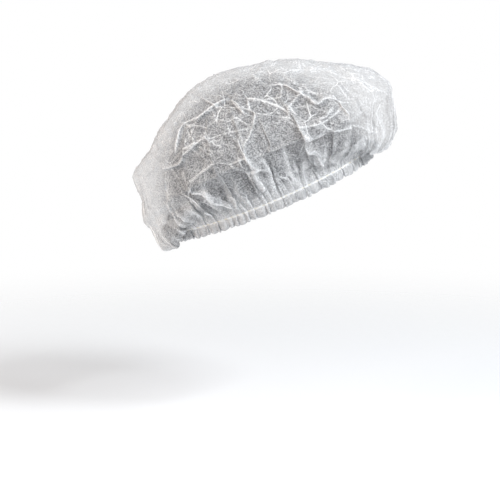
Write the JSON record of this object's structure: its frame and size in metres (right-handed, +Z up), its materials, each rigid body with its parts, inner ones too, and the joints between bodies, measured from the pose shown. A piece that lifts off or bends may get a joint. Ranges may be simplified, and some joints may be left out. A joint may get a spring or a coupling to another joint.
{
  "type": "bouffant cap",
  "caption": "Disposable nonwoven bouffant cap as worn: a gathered crown that puffs out at the brow, drawn in by elastic in a ruffled turned-up hem.",
  "frame": {"origin": "middle of the elastic's loop, inside the cap's opening, where the head carries it", "axes": "+Z up as worn on an upright head, -Y the way the wearer faces, -X the wearer's right side"},
  "size_m": [0.1904, 0.2446, 0.1711],
  "materials": {
    "crown_cloth": "matte translucent spunbond nonwoven",
    "hem_cloth": "matte spunbond nonwoven, two layers",
    "elastic_strand": "matte"
  },
  "bodies": {
    "root": {"crown": "crown_cloth", "hem": "hem_cloth", "elastic": "elastic_strand"}
  },
  "joints": []
}
